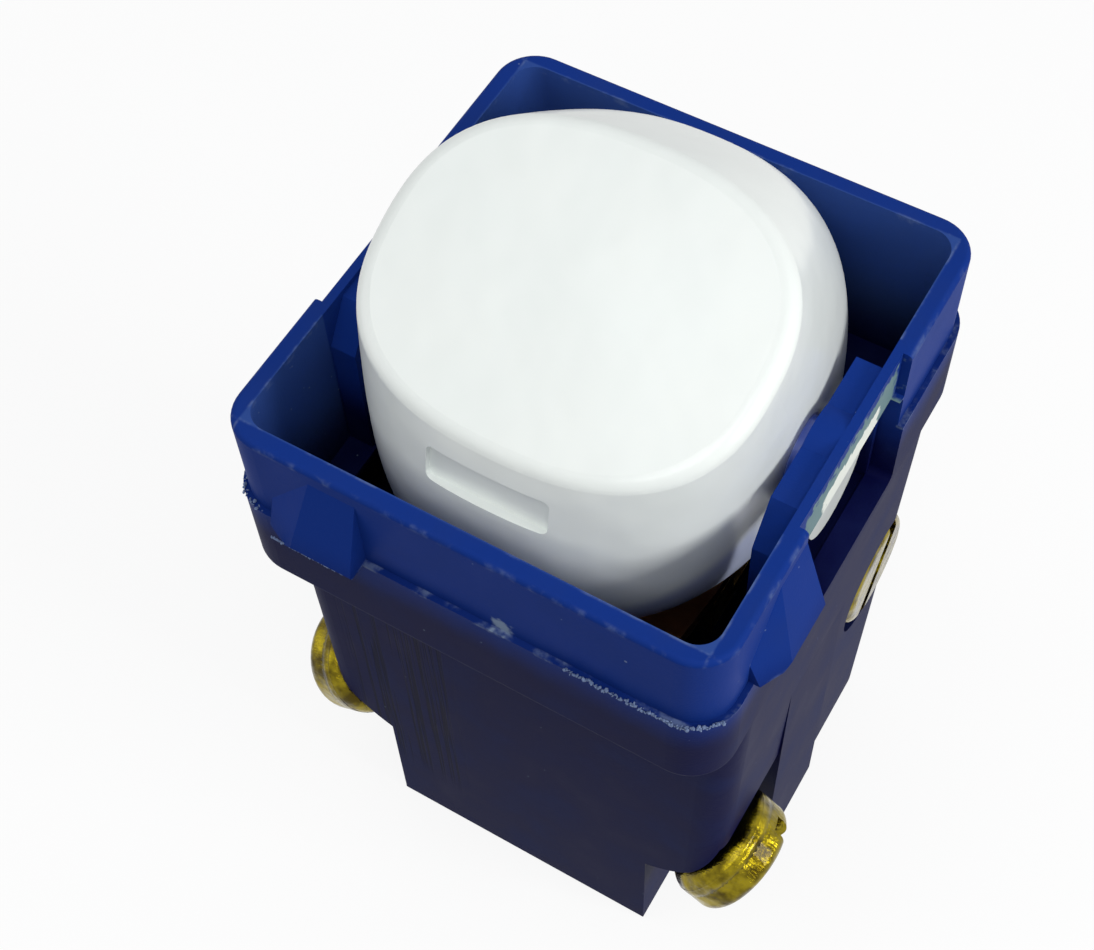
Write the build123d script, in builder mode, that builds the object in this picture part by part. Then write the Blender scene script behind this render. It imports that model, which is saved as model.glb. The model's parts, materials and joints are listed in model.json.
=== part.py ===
from build123d import *
import os
from math import copysign, cos, pi, radians, sin

# Double-pole rocker switch module for a wall plate.
# Millimetres, +Z up, the front towards -Y.
# The origin is the centre of the base's underside. Modelled with the rocker's front edge pressed.

# Housing: rim and collar
depth = 34.7
rim_inner_x = 20.0
rim_inner_y = 21.0
rim_wall = 0.8
rim_corner = 1.8
rim_inner_corner = 1.0
rim_round = 0.25
ledge_drop = 4.7
band_proud = 0.25
band_round = 0.3
collar_drop = 9.3
seat_drop = 8.75

# Housing: body and base
base_x = 20.8
body_x = 21.9
body_y = 18.5
body_corner = 1.4
body_wall = 0.9
side_wall = 2.25
rib_x = 21.6
rib_front = 3.0
rib_back = 2.3
notch_foot_x = 7.15
notch_foot_drop = 4.6
notch_mid_x = 9.2
notch_mid_drop = 3.05
notch_top_x = 10.5
notch_top_drop = 0.2
barrier_t = 1.0
barrier_h = 5.0
overshoot = 2.0

# Housing: side windows and pivot brackets
window_half = 4.4
window_top_drop = 2.6
window_bottom_drop = 8.5
window_corner = 0.4
strip_inset = 0.4
bracket_t = 1.15
bracket_drop = 0.3
bracket_top_half = 3.6
bracket_foot_half = 4.85
bracket_leg = 0.75
bearing_t = 0.75

# Housing: clip lugs
lug_start = 4.4
lug_length = 4.2
lug_top_drop = 0.8
lug_crest_drop = 4.5
lug_bottom_drop = 4.75
lug_reach = 1.1
lug_undercut = 0.1
lug_crest_length = 2.8
lug_end_lean = (0.84, -0.42, 0.33)

# Rocker
pivot_drop = 2.2
tilt = 20.3
top_w = 7.78
top_half_x = 8.09
top_half_y = 6.34
top_power = 2.43
flank_curve = 1.515
waist_w = -0.5
waist_half_x = 8.5
waist_half_y = 10.1
waist_power = 2.41
skirt_w = -4.0
skirt_taper = 1.1
top_round = 0.7
rocker_wall = 1.5
trunnion_r = 1.4
trunnion_gap = 0.05
trunnion_end_gap = 0.05
ear_half = 2.4
ear_w = -3.9
ear_top_w = -1.4
ear_gap = 0.3
label_x = 5.2
label_h = 1.8
label_w = 5.9
label_lean = 31.0
label_depth = 0.45
label_corner = 0.3
web_t = 1.2
boss_r = 2.5
boss_w = -8.5
outline_points = 32
barrel_steps = 4

# Poles: plungers, springs and blades
pole_x = 3.9
plunger_r = 1.45
plunger_gap = 0.05
plunger_reach = 12.3
plunger_top_w = -1.9
bore_end_w = 2.7
wire_r = 0.16
spring_gap = 0.15
spring_turns = 5
blade_w = 4.0
blade_t = 0.8
blade_inner_r = 3.0
blade_rise = 16.0
blade_swing = 6.0
blade_drop = 0.345
front_arm = 6.7
back_arm = 4.2
contact_r = 1.4
contact_arm = 5.12
moving_contact_t = 0.8
fixed_contact_t = 1.4
fixed_contact_y = -5.7

# Terminals and screws
cable_y = 6.7
entry_r = 2.0
cable_r = 1.6
block_x = 4.6
block_y = 3.9
block_h = 7.0
block_gap = 0.1
plate_t = 1.0
post_half = 1.0
post_h = 1.55
cradle_gap = 0.1
load_plate_end = 4.0
front_screw_down = 32.0
front_screw_up = 2.8
front_head_under = 6.95
back_screw_down = 0.0
back_screw_up = 5.0
back_head_under = 5.1
screw_r = 1.5
screw_gap = 0.05
screw_hole_gap = 0.3
screw_tip = 1.2
head_t = 1.8
head_r = 2.95
head_gap = 0.3
head_round = 0.6
slot_w = 0.9
slot_d = 0.9
slot_front_right = 27.0
slot_front_left = 15.0
slot_back_right = 30.0
slot_back_left = -40.0

# Levels and widths that follow from these
rim_outer_x = rim_inner_x + 2 * rim_wall
rim_outer_y = rim_inner_y + 2 * rim_wall
ledge_z = depth - ledge_drop
collar_z = depth - collar_drop
seat_z = depth - seat_drop
bracket_x = rim_inner_x / 2 - bracket_t
pivot_z = depth - pivot_drop
bracket_top_z = depth - bracket_drop
window_mid_z = depth - (window_top_drop + window_bottom_drop) / 2
blade_outer_r = blade_inner_r + blade_t
hinge_z = pivot_z - plunger_reach + blade_inner_r - blade_drop
cradle_r = blade_outer_r + cradle_gap
plate_top_z = hinge_z - cradle_r - post_h
floor_z = plate_top_z - plate_t
block_z = floor_z - block_h
front_meet_z = block_z + front_screw_up
well_x = body_x - 2 * side_wall
well_y = body_y - 2 * body_wall
bracket_hole_half = bracket_foot_half - bracket_leg
bearing_r = trunnion_r + trunnion_gap + bearing_t
rocker_inner_x = waist_half_x - rocker_wall
screw_angles = {-1: front_screw_down, 1: back_screw_down}
screw_levels = {-1: front_meet_z, 1: block_z + back_screw_up}
heads_under = {-1: front_head_under, 1: back_head_under}
corners = [(sx * pole_x, sy * cable_y) for sx in (1, -1) for sy in (1, -1)]

# Direction from the pivot up through the rocker as modelled
up_y = -sin(radians(tilt))
up_z = cos(radians(tilt))
rocker_plane = Plane(origin=(0, 0, pivot_z), x_dir=(1, 0, 0), z_dir=(0, up_y, up_z))


def side_plane(x, z):
    """Plane facing outwards along X at x, its local axes along Y and up."""
    side = copysign(1, x)
    return Plane(origin=(x, 0, z), x_dir=(0, side, 0), z_dir=(side, 0, 0))


def screw_plane(side, back, along):
    """Plane across a terminal screw, at a distance from where it meets the cable hole."""
    out = cos(radians(screw_angles[back]))
    down = sin(radians(screw_angles[back]))
    return Plane(
        origin=(side * (pole_x + out * along), back * cable_y, screw_levels[back] - down * along),
        x_dir=(side * down, 0, out),
        z_dir=(side * out, 0, -down),
    )


def ear_plane(x):
    """Plane facing outwards along X at x, level with the pivot, tilted with the rocker."""
    side = copysign(1, x)
    return Plane(origin=(x, 0, pivot_z), x_dir=(0, side * up_z, -side * up_y), z_dir=(side, 0, 0))


def pole_plane(side):
    """Plane through one pole's plunger, its local Y along the rocker's own axis."""
    return Plane(origin=(side * pole_x, 0, pivot_z), x_dir=(1, 0, 0), z_dir=(0, -up_z, up_y))


def pole_axis(side):
    return Axis((side * pole_x, 0, pivot_z), (0, up_y, up_z))


def rounded_outline(half_x, half_y, power):
    """Points round a rectangle with fully rounded sides."""
    points = []
    for step in range(outline_points):
        angle = 2 * pi * step / outline_points
        across = copysign(abs(cos(angle)) ** (2 / power), cos(angle))
        along = copysign(abs(sin(angle)) ** (2 / power), sin(angle))
        points.append((half_x * across, half_y * along))
    return points


def flank_bulge(share):
    """How far the rocker's flank has swelled from the top to the waist, at a share of the way down."""
    return 1 - (1 - share) ** flank_curve


def barrel_sections(inset, top):
    """Height, half widths and roundness of the rocker's barrel from its top down to the skirt."""
    sections = []
    for step in range(barrel_steps + 1):
        share = step / barrel_steps
        height = top + (waist_w - top) * share
        bulge = flank_bulge(share)
        half_x = top_half_x + (waist_half_x - top_half_x) * bulge - inset
        half_y = top_half_y + (waist_half_y - top_half_y) * bulge - inset
        power = top_power + (waist_power - top_power) * bulge
        sections.append((height, half_x, half_y, power))
    sections.append((skirt_w, waist_half_x - inset, waist_half_y - skirt_taper - inset, waist_power))
    return sections


label_bulge = flank_bulge((top_w - label_w) / (top_w - waist_w))
label_out = top_half_y + (waist_half_y - top_half_y) * label_bulge

os.makedirs("parts", exist_ok=True)

# Housing
# Notches at the base's front corners, with a rounded overhang above each
with BuildPart() as corner_notches:
    with BuildSketch(Plane.XZ.offset(rib_front)):
        with BuildLine():
            Line((notch_foot_x, -overshoot), (notch_foot_x, front_meet_z - notch_foot_drop))
            ThreePointArc(
                (notch_foot_x, front_meet_z - notch_foot_drop),
                (notch_mid_x, front_meet_z - notch_mid_drop),
                (notch_top_x, front_meet_z - notch_top_drop),
            )
            Polyline(
                (notch_top_x, front_meet_z - notch_top_drop),
                (body_x / 2 + overshoot, front_meet_z - notch_top_drop),
                (body_x / 2 + overshoot, -overshoot),
                (notch_foot_x, -overshoot),
            )
        make_face()
    extrude(amount=body_y / 2)
    mirror(about=Plane.YZ)

# Clip lug: a wedge on a face at X = 0 with the rim at Z = 0, one end leaning in
with BuildPart() as lug:
    with BuildSketch(Plane.XZ.offset(lug_start)):
        with BuildLine():
            Polyline(
                (-rim_wall / 2, -lug_top_drop),
                (0, -lug_top_drop),
                (lug_reach, -lug_crest_drop),
                (lug_reach - lug_undercut, -lug_bottom_drop),
                (-rim_wall / 2, -lug_bottom_drop),
                close=True,
            )
        make_face()
    extrude(amount=lug_length)
    split(
        bisect_by=Plane(
            origin=(lug_reach, -lug_start - lug_crest_length, -lug_crest_drop), z_dir=lug_end_lean
        ),
        keep=Keep.BOTTOM,
    )

with BuildPart() as housing:
    # Upper collar with a rounded rim
    with BuildSketch(Plane.XY.offset(ledge_z)):
        RectangleRounded(rim_outer_x, rim_outer_y, rim_corner)
    extrude(amount=ledge_drop)
    fillet(housing.faces().sort_by(Axis.Z)[-1].edges(), rim_round)
    # Lower collar band, a little proud
    with BuildSketch(Plane.XY.offset(collar_z)):
        RectangleRounded(
            rim_outer_x + 2 * band_proud, rim_outer_y + 2 * band_proud, rim_corner + band_proud
        )
    extrude(amount=ledge_z - collar_z)
    fillet(housing.faces().sort_by(Axis.Z)[0].edges(), band_round)
    # Body that narrows a little to the base, with an upright rib on each side
    with BuildSketch(Plane.XY):
        RectangleRounded(base_x, body_y, body_corner)
    with BuildSketch(Plane.XY.offset(collar_z)):
        RectangleRounded(body_x, body_y, body_corner)
    loft()
    with BuildSketch(Plane.XY):
        with Locations((0, (rib_back - rib_front) / 2)):
            Rectangle(rib_x, rib_back + rib_front)
    extrude(amount=collar_z)
    add(corner_notches.part, mode=Mode.SUBTRACT)
    # Well for the rocker, and the deeper well for the contacts
    with BuildSketch(Plane.XY.offset(seat_z)):
        RectangleRounded(rim_inner_x, rim_inner_y, rim_inner_corner)
    extrude(amount=seat_drop, mode=Mode.SUBTRACT)
    with BuildSketch(Plane.XY.offset(floor_z)):
        RectangleRounded(well_x, well_y, body_corner - body_wall)
    extrude(amount=seat_z - floor_z, mode=Mode.SUBTRACT)
    # Barrier between the two poles
    with BuildSketch(Plane.XY.offset(floor_z)):
        Rectangle(barrier_t, body_y - body_wall)
    extrude(amount=barrier_h)
    # Pivot brackets inside the two side walls: a gable on two legs, with a bearing under it
    for side in (1, -1):
        with BuildSketch(side_plane(side * bracket_x, 0)):
            with BuildLine():
                Polyline(
                    (bracket_foot_half, collar_z),
                    (bracket_foot_half, pivot_z),
                    (bracket_top_half, bracket_top_z),
                    (-bracket_top_half, bracket_top_z),
                    (-bracket_foot_half, pivot_z),
                    (-bracket_foot_half, collar_z),
                    close=True,
                )
            make_face()
            with Locations((0, (seat_z + pivot_z) / 2)):
                Rectangle(2 * bracket_hole_half, pivot_z - seat_z, mode=Mode.SUBTRACT)
        extrude(amount=bracket_t + rim_wall / 2)
        with BuildSketch(side_plane(side * bracket_x, pivot_z)):
            Circle(bearing_r)
        extrude(amount=bracket_t)
        with BuildSketch(side_plane(side * bracket_x, pivot_z)):
            Circle(trunnion_r + trunnion_gap)
        extrude(amount=bracket_t, mode=Mode.SUBTRACT)
        # Window through the wall, and the thinned strip above it
        with BuildSketch(side_plane(side * rim_inner_x / 2, window_mid_z)):
            RectangleRounded(2 * window_half, window_bottom_drop - window_top_drop, window_corner)
        extrude(amount=rim_wall + overshoot, mode=Mode.SUBTRACT)
        with BuildSketch(side_plane(side * (rim_outer_x / 2 - strip_inset), depth - window_top_drop / 2)):
            Rectangle(2 * window_half, window_top_drop)
        extrude(amount=overshoot, mode=Mode.SUBTRACT)
    # Clip lugs, one on each face
    for turn, face in ((0, rim_outer_x / 2), (90, rim_outer_y / 2)):
        for half_turn in (0, 180):
            add(lug.part.moved(Rot(0, 0, turn + half_turn) * Pos(face, 0, depth)))
    # Pockets for the terminals, with a cable entry under each
    with BuildSketch(Plane.XY.offset(block_z)):
        with Locations(*corners):
            Rectangle(block_x + 2 * block_gap, block_y + 2 * block_gap)
    extrude(amount=floor_z - block_z, mode=Mode.SUBTRACT)
    with BuildSketch(Plane.XY):
        with Locations(*corners):
            Circle(entry_r)
    extrude(amount=block_z, mode=Mode.SUBTRACT)
    # Holes for the terminal screws
    for sx in (1, -1):
        for sy in (1, -1):
            with BuildSketch(screw_plane(sx, sy, screw_tip)):
                Circle(screw_r + screw_hole_gap)
            extrude(amount=heads_under[sy] - screw_tip, mode=Mode.SUBTRACT)
        with BuildSketch(screw_plane(sx, 1, back_head_under)):
            Circle(head_r + head_gap)
        extrude(amount=head_t + overshoot, mode=Mode.SUBTRACT)
housing.part.label = "housing"
export_step(housing.part, "parts/housing.step")

# Rocker
# Hollow of the rocker's underside
with BuildPart() as rocker_hollow:
    for height, half_x, half_y, power in barrel_sections(rocker_wall, top_w - rocker_wall):
        with BuildSketch(rocker_plane.offset(height)):
            with BuildLine():
                Spline(*rounded_outline(half_x, half_y, power), periodic=True)
            make_face()
    loft()

# Web and the two bored bosses that stand in the hollow
with BuildPart() as rocker_inside:
    with BuildSketch(rocker_plane.offset(skirt_w)):
        Rectangle(2 * (top_half_x - rocker_wall / 2), web_t)
    extrude(amount=top_w - rocker_wall - skirt_w)
    with BuildSketch(rocker_plane.offset(boss_w)):
        with Locations((pole_x, 0), (-pole_x, 0)):
            Circle(boss_r)
    extrude(amount=top_w - rocker_wall - boss_w)
    with BuildSketch(rocker_plane.offset(boss_w)):
        with Locations((pole_x, 0), (-pole_x, 0)):
            Circle(plunger_r + plunger_gap)
    extrude(amount=bore_end_w - boss_w, mode=Mode.SUBTRACT)

with BuildPart() as rocker:
    # Barrel with a flat top
    for height, half_x, half_y, power in barrel_sections(0, top_w):
        with BuildSketch(rocker_plane.offset(height)):
            with BuildLine():
                Spline(*rounded_outline(half_x, half_y, power), periodic=True)
            make_face()
    loft()
    fillet(rocker.faces().sort_by(Axis((0, 0, 0), (0, up_y, up_z)))[-1].edges(), top_round)
    # Shallow label recess in the front flank, left bare
    with BuildSketch(Plane(rocker_plane.location * Pos(0, -label_out, label_w) * Rot(90 - label_lean, 0, 0))):
        RectangleRounded(label_x, label_h, label_corner)
    extrude(amount=label_depth, both=True, mode=Mode.SUBTRACT)
    add(rocker_hollow.part, mode=Mode.SUBTRACT)
    # Pivot pin on both sides, and an ear below it
    for side in (1, -1):
        with BuildSketch(side_plane(side * rocker_inner_x, pivot_z)):
            Circle(trunnion_r)
        extrude(amount=rim_inner_x / 2 - trunnion_end_gap - rocker_inner_x)
        with BuildSketch(ear_plane(side * rocker_inner_x)):
            with Locations((0, (ear_w + ear_top_w) / 2)):
                Rectangle(2 * ear_half, ear_top_w - ear_w)
            with Locations((0, ear_w)):
                Circle(ear_half)
            Circle(bearing_r + ear_gap, mode=Mode.SUBTRACT)
        extrude(amount=rim_inner_x / 2 - ear_gap - rocker_inner_x)
    add(rocker_inside.part)
rocker.part.label = "rocker"
export_step(rocker.part, "parts/rocker.step")


# Poles
def make_plunger(side):
    """Pin with a round tip that slides in the rocker's boss."""
    with BuildPart() as plunger:
        with BuildSketch(pole_plane(side)):
            with BuildLine():
                RadiusArc(
                    (plunger_r, plunger_r - plunger_reach), (0, -plunger_reach), plunger_r
                )
                Polyline(
                    (0, -plunger_reach),
                    (0, plunger_top_w),
                    (plunger_r, plunger_top_w),
                    (plunger_r, plunger_r - plunger_reach),
                )
            make_face()
        revolve(axis=pole_axis(side))
    return plunger.part


def make_spring(side):
    """Coil spring between the plunger and the end of its bore."""
    start_w = plunger_top_w + wire_r
    height = bore_end_w - plunger_top_w - 2 * wire_r
    radius = plunger_r - spring_gap - wire_r
    foot = (side * pole_x, up_y * start_w, pivot_z + up_z * start_w)
    with BuildPart() as spring:
        with BuildLine() as coil:
            Helix(height / spring_turns, height, radius, center=foot, direction=(0, up_y, up_z))
        with BuildSketch(Plane(origin=coil.line @ 0, z_dir=coil.line % 0)):
            Circle(wire_r)
        sweep(path=coil.line, is_frenet=True)
    return spring.part


def blade_point(radius, along, back):
    """Point on a blade's arm, in the blade's own plane round its hinge."""
    rise = radians(blade_rise)
    return (
        back * (radius * sin(rise) + along * cos(rise)),
        along * sin(rise) - radius * cos(rise),
    )


def make_blade(side):
    """Strip bent to a shallow V that rocks in its cradle."""
    swing = radians(-blade_swing)
    blade_plane = Plane(
        origin=(side * pole_x - blade_w / 2, 0, hinge_z),
        x_dir=(0, cos(swing), sin(swing)),
        z_dir=(1, 0, 0),
    )
    with BuildPart() as blade:
        with BuildSketch(blade_plane):
            with BuildLine():
                Line(blade_point(blade_inner_r, front_arm, -1), blade_point(blade_inner_r, 0, -1))
                ThreePointArc(
                    blade_point(blade_inner_r, 0, -1),
                    (0, -blade_inner_r),
                    blade_point(blade_inner_r, 0, 1),
                )
                Polyline(
                    blade_point(blade_inner_r, 0, 1),
                    blade_point(blade_inner_r, back_arm, 1),
                    blade_point(blade_outer_r, back_arm, 1),
                    blade_point(blade_outer_r, 0, 1),
                )
                ThreePointArc(
                    blade_point(blade_outer_r, 0, 1),
                    (0, -blade_outer_r),
                    blade_point(blade_outer_r, 0, -1),
                )
                Polyline(
                    blade_point(blade_outer_r, 0, -1),
                    blade_point(blade_outer_r, front_arm, -1),
                    blade_point(blade_inner_r, front_arm, -1),
                )
            make_face()
        extrude(amount=blade_w)
    return blade.part


def make_moving_contact(side):
    """Button under the blade's front arm."""
    lean = radians(blade_rise + blade_swing)
    local_y, local_z = blade_point(blade_outer_r, contact_arm, -1)
    swing = radians(-blade_swing)
    centre = (
        side * pole_x,
        local_y * cos(swing) - local_z * sin(swing),
        hinge_z + local_y * sin(swing) + local_z * cos(swing),
    )
    with BuildPart() as contact:
        with BuildSketch(Plane(origin=centre, x_dir=(1, 0, 0), z_dir=(0, -sin(lean), -cos(lean)))):
            Circle(contact_r)
        extrude(amount=moving_contact_t)
    return contact.part


def make_fixed_contact(side):
    """Button on the load terminal's pad."""
    with BuildPart() as contact:
        with BuildSketch(Plane.XY.offset(plate_top_z)):
            with Locations((side * pole_x, fixed_contact_y)):
                Circle(contact_r)
        extrude(amount=fixed_contact_t)
    return contact.part


def make_terminal(side, back):
    """Terminal block with a cable hole, a screw hole and a strip along the floor."""
    far_end = well_y / 2 - block_gap
    near_end = -post_half if back > 0 else load_plate_end
    with BuildPart() as terminal:
        with BuildSketch(Plane.XY.offset(block_z)):
            with Locations((side * pole_x, back * cable_y)):
                Rectangle(block_x, block_y)
        extrude(amount=floor_z - block_z)
        with BuildSketch(Plane.XY.offset(floor_z)):
            with Locations((side * pole_x, back * (far_end + near_end) / 2)):
                Rectangle(blade_w, far_end - near_end)
        extrude(amount=plate_t)
        if back > 0:
            # Post with the cradle for the blade
            with BuildSketch(Plane.XY.offset(plate_top_z)):
                with Locations((side * pole_x, 0)):
                    Rectangle(blade_w, 2 * post_half)
            extrude(amount=hinge_z - plate_top_z - blade_inner_r)
            with BuildSketch(Plane.YZ.offset(side * pole_x - blade_w)):
                with Locations((0, hinge_z)):
                    Circle(cradle_r)
            extrude(amount=2 * blade_w, mode=Mode.SUBTRACT)
        with BuildSketch(Plane.XY.offset(block_z)):
            with Locations((side * pole_x, back * cable_y)):
                Circle(cable_r)
        extrude(amount=floor_z - block_z, mode=Mode.SUBTRACT)
        with BuildSketch(screw_plane(side, back, 0)):
            Circle(screw_r + screw_gap)
        extrude(amount=block_x, mode=Mode.SUBTRACT)
    return terminal.part


def make_screw(side, back, slot):
    """Slotted terminal screw with a rounded cheese head."""
    under = heads_under[back]
    with BuildPart() as screw:
        with BuildSketch(screw_plane(side, back, under)):
            Circle(head_r)
        extrude(amount=head_t)
        out = Axis((0, 0, 0), tuple(screw_plane(side, back, 0).z_dir))
        fillet(screw.faces().sort_by(out)[-1].edges(), head_round)
        with BuildSketch(screw_plane(side, back, screw_tip)):
            Circle(screw_r)
        extrude(amount=under - screw_tip)
        with BuildSketch(screw_plane(side, back, under + head_t - slot_d)):
            Rectangle(2 * head_r + overshoot, slot_w, rotation=slot)
        extrude(amount=head_t, mode=Mode.SUBTRACT)
    return screw.part


pieces = {}
for side, hand in ((-1, "left"), (1, "right")):
    pieces["plunger_" + hand] = make_plunger(side)
    pieces["plunger_spring_" + hand] = make_spring(side)
    pieces["contact_blade_" + hand] = make_blade(side)
    pieces["moving_contact_" + hand] = make_moving_contact(side)
    pieces["fixed_contact_" + hand] = make_fixed_contact(side)
    pieces["line_terminal_" + hand] = make_terminal(side, 1)
    pieces["load_terminal_" + hand] = make_terminal(side, -1)
pieces["terminal_screw_front_right"] = make_screw(1, -1, -slot_front_right)
pieces["terminal_screw_front_left"] = make_screw(-1, -1, slot_front_left)
pieces["terminal_screw_back_right"] = make_screw(1, 1, -slot_back_right)
pieces["terminal_screw_back_left"] = make_screw(-1, 1, slot_back_left)
for name, piece in pieces.items():
    piece.label = name
    export_step(piece, f"parts/{name}.step")
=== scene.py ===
"""Looks of the double-pole switch module, on its CAD frame."""

import json
import math

import bpy
from mathutils import Euler, Matrix, Vector


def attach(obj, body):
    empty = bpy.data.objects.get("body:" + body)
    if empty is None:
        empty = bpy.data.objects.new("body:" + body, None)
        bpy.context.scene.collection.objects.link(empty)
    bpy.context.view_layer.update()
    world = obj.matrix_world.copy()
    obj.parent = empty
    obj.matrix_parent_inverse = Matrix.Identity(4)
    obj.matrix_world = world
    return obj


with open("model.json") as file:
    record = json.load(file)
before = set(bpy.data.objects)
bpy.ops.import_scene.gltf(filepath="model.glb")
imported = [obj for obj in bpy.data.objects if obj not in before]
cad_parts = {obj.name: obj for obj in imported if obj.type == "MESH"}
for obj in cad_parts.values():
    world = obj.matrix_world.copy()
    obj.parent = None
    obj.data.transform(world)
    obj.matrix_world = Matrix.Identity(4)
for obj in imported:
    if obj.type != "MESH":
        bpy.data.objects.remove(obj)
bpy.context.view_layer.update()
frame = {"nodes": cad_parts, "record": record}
nodes = frame["nodes"]
joints = {joint["name"]: joint for joint in frame["record"]["behaviour"]["joints"]}
scene = bpy.context.scene
MM = 0.001

# Housing sizes in mm: z up from the base, the front towards -y, widths from the middle
rim_top = 34.7
rim_inside_x, rim_inside_y = 10.0, 10.5
rim_wall = 0.8
rim_outside_x, rim_outside_y = rim_inside_x + rim_wall, rim_inside_y + rim_wall
rim_corner = 1.8
ledge_top = 30.0
ledge_proud = 0.25
lug_reach = 1.1

# Borders of the housing's colours in mm, set just clear of its faces
strip_inside, strip_foot = 10.25, 31.95
bracket_inside, bracket_half = 8.75, 4.95
well_half_x, well_half_y = 8.9, 8.55
well_floor, well_top = 16.2, 25.7
body_front = -9.1

# Marks on the housing in mm: drag lines, a whitened strip over the right window, a chip in the ledge
drag_x, drag_z = (-8.6, -3.1), (5.0, 20.5)
bruise_y, bruise_rise = (-3.7, 4.2), 2.2
white_y, white_rise = (-2.0, 2.7), 1.325
chip_x, chip_rise = (1.4, 2.2), 0.7

# Rocker: it rests at one end of its swing, and its marks and its painted blue reflections are placed up
# from the pivot and along the top
rocker_joint = joints["rocker_tilt"]
pivot_z = rocker_joint["pos_m"][2] / MM
tilt = math.radians(-rocker_joint["range_deg"][0] / 2)
pin_start, pin_reach = 8.425, 1.533
skirt_up, skirt_along = 0.1, -3.25
dirt_x, dirt_up, dirt_along = -7.6, (2.8, 7.0), (-6.0, -0.5)

# Half the width of a sharp border between two colours, in mm
crisp = 0.05


class Sock:
    """A socket of a shader tree that takes part in ordinary arithmetic."""

    def __init__(self, tree, socket=None):
        self.tree, self.socket = tree, socket

    def node(self, kind, settings=None, sockets=None, out=0):
        """Any node: its settings first, then socket values or links. Gives one output."""
        made = self.tree.nodes.new("ShaderNode" + kind)
        for name, value in (settings or {}).items():
            setattr(made, name, value)
        for key, value in (sockets or {}).items():
            if isinstance(value, Sock):
                self.tree.links.new(value.socket, made.inputs[key])
            else:
                made.inputs[key].default_value = value
        return Sock(self.tree, made.outputs[out]) if made.outputs else None

    def calc(self, operation, *values):
        """A Math node on values."""
        return self.node("Math", {"operation": operation}, dict(enumerate(values)))

    def __add__(self, other):
        return self.calc("ADD", self, other)

    def __radd__(self, other):
        return self.calc("ADD", other, self)

    def __sub__(self, other):
        return self.calc("SUBTRACT", self, other)

    def __rsub__(self, other):
        return self.calc("SUBTRACT", other, self)

    def __mul__(self, other):
        return self.calc("MULTIPLY", self, other)

    def __rmul__(self, other):
        return self.calc("MULTIPLY", other, self)

    def __abs__(self):
        return self.calc("ABSOLUTE", self)

    def most(self, other):
        """The larger of two values."""
        return self.calc("MAXIMUM", self, other)

    def above(self, edge, soft):
        """0 below edge and 1 above it, smooth over soft on both sides."""
        return self.node(
            "MapRange",
            {"interpolation_type": "SMOOTHSTEP"},
            {"Value": self, "From Min": edge - soft, "From Max": edge + soft},
        )

    def below(self, edge, soft):
        """1 below edge and 0 above it, smooth over soft on both sides."""
        return 1.0 - self.above(edge, soft)

    def band(self, low, high, soft):
        """1 between low and high, smooth over soft on both sides of each."""
        return self.above(low, soft) * self.below(high, soft)

    def place(self):
        """The piece's own position in mm."""
        return self.node("TexCoord", out="Object").stretch(1 / MM, 1 / MM, 1 / MM)

    def stretch(self, x, y, z):
        """A position with its axes scaled."""
        return self.node("VectorMath", {"operation": "MULTIPLY"}, {0: self, 1: (x, y, z)})

    def parts(self):
        """X, Y and Z of a vector."""
        split = self.node("SeparateXYZ", sockets={0: self}).socket.node
        return [Sock(self.tree, socket) for socket in split.outputs]

    def noise(self, scale, detail=2.0, rough=0.5):
        """Noise of about one feature per 1/scale mm at a position."""
        return self.node(
            "TexNoise",
            sockets={"Vector": self, "Scale": scale, "Detail": detail, "Roughness": rough},
        )

    def specks(self, scale, size, share):
        """Round specks of radius size/scale mm, in a share of the cells of 1/scale mm at a position."""
        cell = self.node("TexVoronoi", sockets={"Vector": self, "Scale": scale})
        draw = Sock(self.tree, cell.socket.node.outputs["Color"]).parts()[0]
        return cell.below(0.8 * size, 0.2 * size) * draw.above(1.005 - share, 0.005)

    def mix(self, first, second):
        """Colour first where this is 0 and second where it is 1."""
        return self.node(
            "Mix", {"data_type": "RGBA", "clamp_factor": True}, {0: self, 6: first, 7: second}, 2
        )

    def bump(self, strength, depth):
        """Normals of a surface that lies depth mm higher where this is 1 than where it is 0."""
        return self.node(
            "Bump", sockets={"Strength": strength, "Distance": depth * MM, "Height": self}
        )


def material(name):
    """An empty material and its tree as a Sock."""
    made = bpy.data.materials.new(name)
    made.use_nodes = True
    made.node_tree.nodes.clear()
    return made, Sock(made.node_tree)


def end(tree, shader, kind="OutputMaterial"):
    """Ends a tree in a shader."""
    tree.node(kind, sockets={"Surface": shader})


def surface(tree, **sockets):
    """Ends a material in a Principled surface."""
    named = {key.replace("_", " "): value for key, value in sockets.items()}
    end(tree, tree.node("BsdfPrincipled", sockets=named))


def srgb(red, green, blue):
    """A colour given as it looks on screen, 0 to 255."""
    channels = []
    for value in (red, green, blue):
        value = value / 255
        channels.append(value / 12.92 if value <= 0.04045 else ((value + 0.055) / 1.055) ** 2.4)
    return (*channels, 1.0)


def grey(value):
    """A grey given as the share of light that it sends back."""
    return (value, value, value, 1.0)


def paint(colour, other, mask, share=1.0):
    """A colour with a share of another laid over it where mask is 1."""
    return (mask * share).mix(colour, other)


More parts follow.
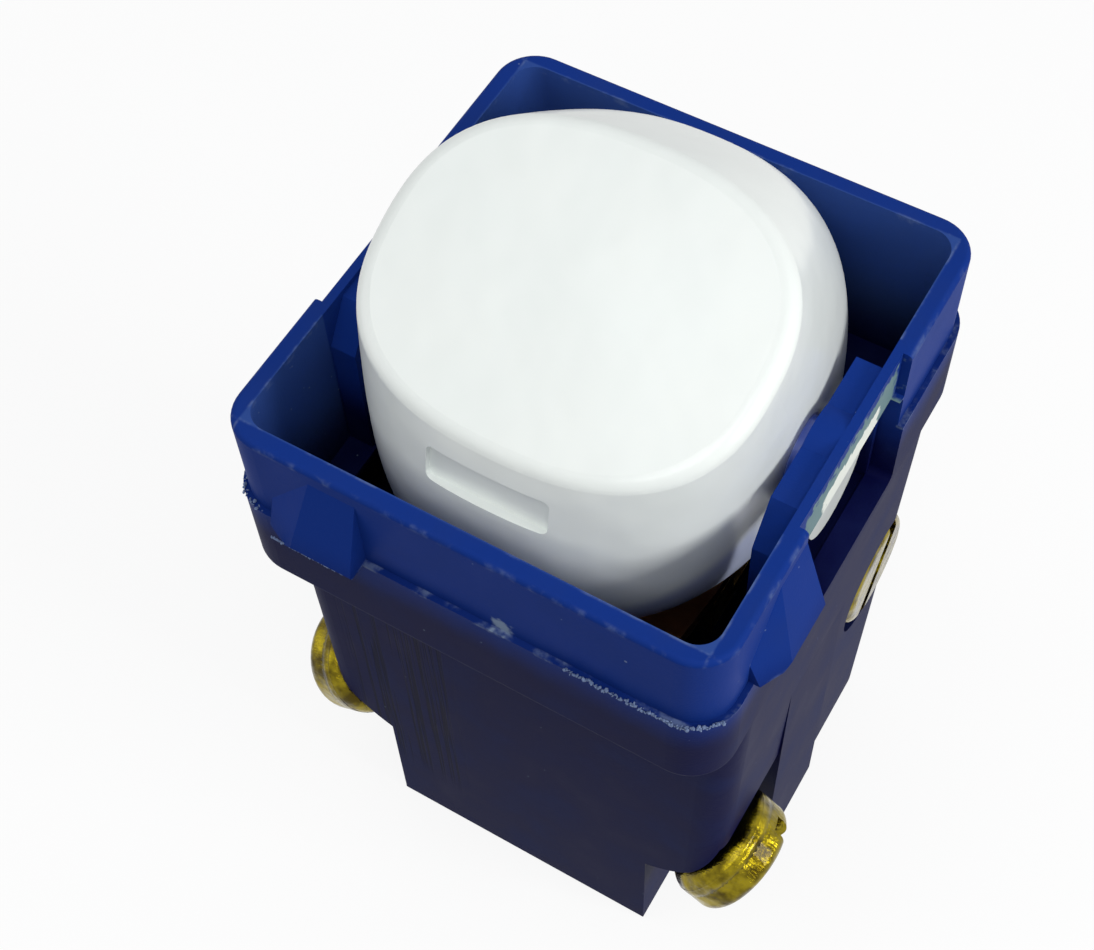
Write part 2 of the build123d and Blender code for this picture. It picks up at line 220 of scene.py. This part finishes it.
# Materials
def housing_plastic():
    """Satin blue plastic with painted shade below the ledge and painted light above it, with marks of
    mould and wear.
    """
    made, tree = material("housing_plastic")
    where = tree.place()
    x, y, z = where.parts()
    wide, deep = abs(x), abs(y)
    cloud = where.noise(0.35, detail=3.0)
    ragged = where.noise(2.2, detail=3.0) - 0.5
    front = y.below(body_front, soft=0.1)
    bracket = wide.above(bracket_inside, crisp) * deep.below(bracket_half, crisp)

    # Painted shade and light: the one blue is drawn darker below the ledge and brighter above it, where
    # more light falls
    painted_light_above = (z + 1.2 * (cloud - 0.5)).above(ledge_top - 0.5, soft=1.9)
    colour = painted_light_above.mix(srgb(9, 12, 56), srgb(20, 50, 128))
    colour = paint(colour, srgb(40, 56, 104), cloud.above(0.6, soft=0.2), share=0.2)

    # Painted light: inside the rim the inner walls are drawn paler, standing in for sheen
    inside = wide.below(rim_inside_x + crisp, crisp) * deep.below(rim_inside_y + crisp, crisp)
    painted_sheen_inside = inside * (1.0 - bracket) * z.above(ledge_top - 2.25, soft=2.25)
    colour = paint(colour, srgb(70, 100, 160), painted_sheen_inside, share=0.35)
    # Painted shade: the deep well is drawn nearly black
    painted_well_shade = wide.below(well_half_x, soft=0.1) * deep.below(well_half_y, soft=0.1)
    painted_well_shade = painted_well_shade * z.band(well_floor, well_top, soft=0.3)
    colour = paint(colour, srgb(3, 4, 8), painted_well_shade, share=0.85)

    # Drag lines down the front, left by the mould
    streaks = where.stretch(2.6, 0.0, 0.03).noise(1.0, detail=3.0, rough=0.7)
    dragged = front * x.band(*drag_x, soft=0.5) * z.band(*drag_z, soft=1.5)
    line = dragged * streaks.band(0.52, 0.6, soft=0.02)
    colour = paint(colour, srgb(4, 4, 10), line, share=0.6)

    # Whitened plastic along the thin strip over the right window, whitest at its lower edge
    strip = x.above(strip_inside, crisp) * z.above(strip_foot, crisp)
    ragged_y = y + 1.2 * ragged
    bruise_low = (z + 1.8 * ragged).below(strip_foot + bruise_rise, soft=0.15)
    bruised = strip * ragged_y.band(*bruise_y, soft=0.2) * bruise_low
    white_low = (z + 0.9 * ragged).below(strip_foot + white_rise, soft=0.075)
    whitened = strip * ragged_y.band(*white_y, soft=0.15) * white_low

    # A chip in the front of the ledge
    chip_across = (x + 0.8 * ragged).band(*chip_x, soft=0.15)
    chip_upright = (z + 0.8 * ragged).band(ledge_top, ledge_top + chip_rise, soft=0.12)
    chip = front * chip_across * chip_upright

    # Worn edges of the rim and the ledge, partly painted highlights: the edges are drawn paler where
    # light catches them
    outer_x = wide.above(rim_outside_x - 0.11, soft=0.07)
    outer_y = deep.above(rim_outside_y - 0.11, soft=0.07)
    inner_x = wide.band(rim_inside_x - 0.02, rim_inside_x + 0.08, crisp)
    inner_y = deep.band(rim_inside_y - 0.02, rim_inside_y + 0.08, crisp)
    rim_edges = outer_x.most(outer_y).most(inner_x.most(inner_y) * (1.0 - bracket))
    rim_edges = rim_edges * z.above(rim_top - 0.3, soft=0.1)
    outside = wide.above(rim_outside_x - crisp, crisp).most(deep.above(rim_outside_y - crisp, crisp))
    ledge_edge = outside * z.band(ledge_top - 0.15, ledge_top + 0.03, soft=0.06)
    rubbed = where.noise(0.9, detail=4.0, rough=0.6).above(0.58, soft=0.1)
    wear_and_edge_highlight = (rim_edges * 0.6).most(ledge_edge) * rubbed

    coarse_dust = where.specks(0.42, size=0.035, share=0.35)
    fine_dust = where.specks(1.1, size=0.06, share=0.2)
    dust = coarse_dust.most(fine_dust * 0.5)
    pale = (chip * 0.8).most(wear_and_edge_highlight * 0.38).most(dust * 0.6)
    colour = paint(colour, srgb(140, 158, 180), pale)
    colour = paint(colour, srgb(108, 134, 138), bruised)
    colour = paint(colour, srgb(232, 236, 228), whitened)

    grain = where.noise(9.0)
    crumbled = pale.most(bruised) * where.noise(5.0)
    surface(
        tree,
        Base_Color=colour,
        Roughness=0.4 + 0.16 * cloud + 0.15 * pale,
        Normal=(grain - 5.0 * line + 2.0 * crumbled).bump(strength=0.14, depth=0.05),
        Specular_IOR_Level=0.02,
    )
    return made


def rocker_plastic():
    """Glossy white plastic, a little sunken in places."""
    made, tree = material("rocker_plastic")
    where = tree.place()
    x, y, z = where.parts()
    cloud = where.noise(0.25, detail=3.0)
    # Height over the pivot and distance along the top, square to the tilted rocker
    up = (z - pivot_z) * math.cos(tilt) - y * math.sin(tilt)
    along = y * math.cos(tilt) + (z - pivot_z) * math.sin(tilt)
    colour = cloud.mix(srgb(230, 236, 233), srgb(236, 240, 236))

    # Painted reflection: the skirt's pressed side and the pivot pins are drawn blue, standing in for
    # the blue of the housing round them reflected on the white
    skirt_blue_reflection = (up + 0.4 * (cloud - 0.5)).below(skirt_up, soft=0.7)
    skirt_blue_reflection = skirt_blue_reflection * along.below(skirt_along, soft=0.75)
    pin_blue_reflection = (up * up + along * along).below(pin_reach**2, soft=0.15)
    pin_blue_reflection = pin_blue_reflection * abs(x).above(pin_start, soft=0.075)
    colour = paint(colour, srgb(56, 88, 190), (skirt_blue_reflection * 0.45).most(pin_blue_reflection))

    # Faint rubbed dirt along the left edge, and specks
    left_edge = x.below(dirt_x, soft=0.4) * up.band(*dirt_up, soft=0.5)
    left_edge = left_edge * along.band(*dirt_along, soft=0.8)
    dirt = left_edge * where.noise(0.9, detail=4.0).above(0.54, soft=0.08)
    colour = paint(colour, srgb(196, 150, 104), dirt, share=0.12)
    specks = where.specks(0.3, size=0.02, share=0.25)
    colour = paint(colour, srgb(120, 130, 140), specks, share=0.35)

    surface(
        tree,
        Base_Color=colour,
        Roughness=0.34 + 0.08 * cloud,
        Normal=where.noise(0.3).bump(strength=0.25, depth=0.5),
        Coat_Weight=0.45,
        Coat_Roughness=0.17,
    )
    return made


def brass(name, dark, light, rough):
    """Lacquered brass, clouded between two colours, dented and scratched."""
    made, tree = material(name)
    where = tree.place()
    cloud = where.noise(0.9, detail=3.0)
    dents = where.noise(0.7, detail=1.0)
    scratches = where.stretch(1.0, 4.0, 1.0).noise(2.5, detail=3.0, rough=0.6)
    surface(
        tree,
        Base_Color=cloud.above(0.5, soft=0.15).mix(dark, light),
        Roughness=rough + 0.12 * cloud,
        Metallic=1.0,
        Normal=(3.0 * dents + 0.5 * scratches).bump(strength=0.5, depth=0.2),
        Coat_Weight=0.15,
        Coat_Roughness=0.06,
    )
    return made


def plain(name, colour, rough, metal=0.0):
    """A plain finish with faint dark clouds."""
    made, tree = material(name)
    cloud = tree.place().noise(1.0)
    shade = paint(colour, srgb(60, 58, 54), cloud, share=0.25)
    surface(tree, Base_Color=shade, Roughness=rough + 0.1 * cloud, Metallic=metal)
    return made


looks = {
    "housing": housing_plastic(),
    "rocker": rocker_plastic(),
    "screw": brass("bright_brass", srgb(70, 58, 2), srgb(146, 130, 22), rough=0.13),
    "terminal": brass("plain_brass", srgb(172, 140, 66), srgb(204, 172, 96), rough=0.3),
    "blade": plain("copper_strip", srgb(196, 138, 96), rough=0.35, metal=1.0),
    "contact": plain("contact_metal", srgb(214, 214, 208), rough=0.3, metal=1.0),
    "plunger": plain("plunger_plastic", srgb(214, 212, 202), rough=0.5),
    "spring": plain("spring_wire", srgb(170, 170, 170), rough=0.3, metal=1.0),
}
for subpart in frame["record"]["subparts"]:
    piece = nodes[subpart["node"]]
    piece.data.materials.clear()
    piece.data.materials.append(looks[subpart["material_slot"]])


def lathe(name, profile, centre, axis, turns=72):
    """A ring turned from a profile of radius and height in mm, standing on centre along axis."""
    axis = axis.normalized()
    across = axis.orthogonal().normalized()
    beside = axis.cross(across)
    points, faces = [], []
    for turn in range(turns):
        angle = 2 * math.pi * turn / turns
        out = across * math.cos(angle) + beside * math.sin(angle)
        points += [centre + (out * radius + axis * height) * MM for radius, height in profile]
    count = len(profile)
    for turn in range(turns):
        here, there = turn * count, (turn + 1) % turns * count
        for step in range(count):
            ahead = (step + 1) % count
            faces.append((here + step, there + step, there + ahead, here + ahead))
    mesh = bpy.data.meshes.new(name)
    mesh.from_pydata(points, [], faces)
    mesh.polygons.foreach_set("use_smooth", [True] * len(faces))
    piece = bpy.data.objects.new(name, mesh)
    scene.collection.objects.link(piece)
    return piece


# Rounded clamp collars under the front screws' heads, run into the heads' sides
head_under = 6.95
collar_drop = 0.72
collar_hole = 1.6
collar_foot, collar_foot_r = 0.05, 2.2
collar_round, collar_reach = 0.9, 2.965
collar_top, collar_top_r = 1.4, 2.94
collar_hole_top = 0.8


def collar_profile():
    """Radius and height round a collar's section, its lower corner a quarter of an ellipse."""
    profile = [(collar_hole, collar_foot)]
    for turn in range(0, 91, 15):
        angle = math.radians(turn)
        radius = collar_foot_r + (collar_reach - collar_foot_r) * math.sin(angle)
        profile.append((radius, collar_foot + collar_round * (1.0 - math.cos(angle))))
    return profile + [(collar_top_r, collar_top), (collar_hole, collar_hole_top)]


for corner in ("front_left", "front_right"):
    joint = joints["turn_" + corner]
    axis = Vector(joint["axis"])
    foot = Vector(joint["pos_m"]) + axis * (head_under - collar_drop) * MM
    ring = lathe("clamp_collar_" + corner, collar_profile(), foot, axis)
    ring.data.materials.append(looks["screw"])
    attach(ring, joint["child"])


# Flash: crumbs of plastic that the mould left along the edges
def flash_tree():
    """Node group that strews crumbs along a path."""
    tree = bpy.data.node_groups.new("flash_crumbs", "GeometryNodeTree")
    for name, kind, way in (
        ("Geometry", "NodeSocketGeometry", "INPUT"),
        ("Spacing", "NodeSocketFloat", "INPUT"),
        ("Size", "NodeSocketFloat", "INPUT"),
        ("Spread", "NodeSocketFloat", "INPUT"),
        ("Seed", "NodeSocketInt", "INPUT"),
        ("Material", "NodeSocketMaterial", "INPUT"),
        ("Geometry", "NodeSocketGeometry", "OUTPUT"),
    ):
        tree.interface.new_socket(name, in_out=way, socket_type=kind)

    def add(kind, settings=None, **links):
        """A node of the tree, its settings first, then socket values or links."""
        made = tree.nodes.new(kind)
        for key, value in (settings or {}).items():
            setattr(made, key, value)
        for key, value in links.items():
            socket = made.inputs[key]
            if isinstance(value, bpy.types.NodeSocket):
                tree.links.new(value, socket)
            else:
                socket.default_value = value
        return made

    def random(low, high, seed):
        """Random vector for each point or crumb, every part of it between low and high."""
        made = add("FunctionNodeRandomValue", {"data_type": "FLOAT_VECTOR"}, Seed=seed)
        made.inputs[0].default_value, made.inputs[1].default_value = [low] * 3, [high] * 3
        return made.outputs[0]

    given = add("NodeGroupInput").outputs
    path = add("GeometryNodeMeshToCurve", Mesh=given["Geometry"]).outputs[0]
    path = add(
        "GeometryNodeResampleCurve", {"mode": "LENGTH"}, Curve=path, Length=given["Spacing"]
    ).outputs[0]
    points = add("GeometryNodeCurveToPoints", {"mode": "EVALUATED"}, Curve=path).outputs[0]
    stray = add("ShaderNodeVectorMath", {"operation": "SCALE"}, Scale=given["Spread"])
    tree.links.new(random(-1.0, 1.0, given["Seed"]), stray.inputs[0])
    points = add("GeometryNodeSetPosition", Geometry=points, Offset=stray.outputs[0]).outputs[0]
    crumb = add("GeometryNodeMeshIcoSphere", Radius=given["Size"], Subdivisions=1).outputs[0]
    # Sizes are drawn with a later seed than places and turns
    later = add("ShaderNodeMath", {"operation": "ADD"})
    tree.links.new(given["Seed"], later.inputs[0])
    later.inputs[1].default_value = 7.0
    strewn = add(
        "GeometryNodeInstanceOnPoints",
        Points=points,
        Instance=crumb,
        Rotation=random(0.0, 6.3, given["Seed"]),
        Scale=random(0.2, 1.0, later.outputs[0]),
    ).outputs[0]
    real = add("GeometryNodeRealizeInstances", Geometry=strewn).outputs[0]
    done = add("GeometryNodeSetMaterial", Geometry=real, Material=given["Material"]).outputs[0]
    tree.links.new(done, add("NodeGroupOutput").inputs[0])
    return tree


flash_group = flash_tree()
flash_look = plain("pale_flash", srgb(104, 124, 162), rough=0.55)


def flash(name, path, spacing, size, spread, seed):
    """Crumbs on the housing along a path of x and y at the ledge's level, all in mm."""
    thread = bpy.data.meshes.new(name)
    steps = [(start, start + 1) for start in range(len(path) - 1)]
    thread.from_pydata([Vector((x, y, ledge_top)) * MM for x, y in path], steps, [])
    piece = bpy.data.objects.new(name, thread)
    scene.collection.objects.link(piece)
    strew = piece.modifiers.new("flash", "NODES")
    strew.node_group = flash_group
    values = {
        "Spacing": spacing * MM,
        "Size": size * MM,
        "Spread": spread * MM,
        "Seed": seed,
        "Material": flash_look,
    }
    for item in flash_group.interface.items_tree:
        if item.in_out == "INPUT" and item.name in values:
            strew[item.identifier] = values[item.name]
    seen = piece.evaluated_get(bpy.context.evaluated_depsgraph_get())
    mesh = bpy.data.meshes.new_from_object(seen)
    piece.modifiers.remove(strew)
    piece.data = mesh
    mesh.name = name
    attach(piece, "housing")


# Right corner: along the front of the ledge and most of the way round its corner
flash_start, flash_proud = 4.6, 0.01
corner_r = rim_corner + ledge_proud + flash_proud
right_path = [(flash_start, -(rim_outside_y + ledge_proud + flash_proud))]
for turn in range(0, 75, 15):
    angle = math.radians(turn)
    corner_x = rim_outside_x - rim_corner + corner_r * math.sin(angle)
    corner_y = rim_outside_y - rim_corner + corner_r * math.cos(angle)
    right_path.append((corner_x, -corner_y))
flash("flash_front_right", right_path, spacing=0.05, size=0.1, spread=0.06, seed=1)

# Left corner, and the crest of the left lug
lug_flash_x, crest_inset = (-8.2, -4.6), 0.13
left_path = [(-10.9, -10.2), (-10.3, -11.1), (-9.4, -11.5)]
flash("flash_front_left", left_path, spacing=0.07, size=0.1, spread=0.1, seed=2)
crest_y = -(rim_outside_y + lug_reach - crest_inset)
lug_path = [(x, crest_y) for x in lug_flash_x]
flash("flash_front_lug", lug_path, spacing=0.05, size=0.09, spread=0.03, seed=3)


def seen_direct(tree):
    """1 to the camera and to reflections and clear pieces, 0 to the light that falls on the object."""
    rays = ("Is Camera Ray", "Is Glossy Ray", "Is Transmission Ray")
    camera, glossy, clear = (tree.node("LightPath", out=ray) for ray in rays)
    return camera.most(glossy).most(clear)


# Floor: white where it is seen, with the object's shadow, dull grey to the light that it sends back
floor_half, floor_drop = 3000.0, 0.2
floor_mesh = bpy.data.meshes.new("floor")
corners = [Vector((x, y, 0)) * floor_half * MM for x, y in ((-1, -1), (1, -1), (1, 1), (-1, 1))]
floor_mesh.from_pydata(corners, [], [(0, 1, 2, 3)])
floor = bpy.data.objects.new("floor", floor_mesh)
floor.location.z = -floor_drop * MM
scene.collection.objects.link(floor)

floor_look, tree = material("pale_floor")
pale = tree.node("BsdfDiffuse", sockets={"Color": grey(0.92)})
dull = tree.node("BsdfDiffuse", sockets={"Color": grey(0.16)})
white = tree.node("Emission", sockets={"Color": grey(1.0), "Strength": 1.0})
shown = tree.node("MixShader", sockets={0: 0.86, 1: pale, 2: white})
end(tree, tree.node("MixShader", sockets={0: seen_direct(tree), 1: dull, 2: shown}))
floor_mesh.materials.append(floor_look)

# World: white where it is seen, a soft fill on the object
world = bpy.data.worlds.new("studio")
world.use_nodes = True
world.node_tree.nodes.clear()
tree = Sock(world.node_tree)
fill = tree.node("Background", sockets={"Color": (0.97, 0.98, 1.0, 1.0), "Strength": 0.5})
white = tree.node("Background", sockets={"Color": grey(1.0), "Strength": 1.0})
sky = tree.node("MixShader", sockets={0: seen_direct(tree), 1: fill, 2: white})
end(tree, sky, "OutputWorld")
scene.world = world


def lamp(name, place, target, size, watts):
    """A soft rectangular white lamp, its place, target and size in mm."""
    data = bpy.data.lights.new(name, "AREA")
    data.shape = "RECTANGLE"
    data.size, data.size_y = size[0] * MM, size[1] * MM
    data.energy = watts
    made = bpy.data.objects.new(name, data)
    made.location = Vector(place) * MM
    aim = Vector(target) * MM - made.location
    made.rotation_euler = aim.to_track_quat("-Z", "Y").to_euler()
    scene.collection.objects.link(made)


lamp("overhead", (-40, -25, 260), (0, 0, 30), size=(45, 60), watts=0.034)
lamp("front", (70, -130, 260), (0, 0, 30), size=(150, 150), watts=0.19)
lamp("right_side", (215, 10, 110), (0, 0, 20), size=(80, 80), watts=0.3)
lamp("left_side", (-210, -120, 120), (0, 0, 25), size=(160, 160), watts=0.09)

# Camera at the photograph's place, its turns in degrees about x, y and z
camera_place = Vector((21.674, -37.901, 93.869)) * MM
camera_turns = (31.9801, 1.734, 30.5276)
camera_data = bpy.data.cameras.new("camera")
camera_data.sensor_fit = "HORIZONTAL"
camera_data.sensor_width = 36.0
camera_data.lens = 62.46
camera_data.clip_start, camera_data.clip_end = 1 * MM, 20000 * MM
camera = bpy.data.objects.new("camera", camera_data)
turned = Euler([math.radians(turn) for turn in camera_turns])
camera.matrix_world = Matrix.LocRotScale(camera_place, turned, None)
scene.collection.objects.link(camera)
scene.camera = camera
scene.view_settings.view_transform = "Standard"
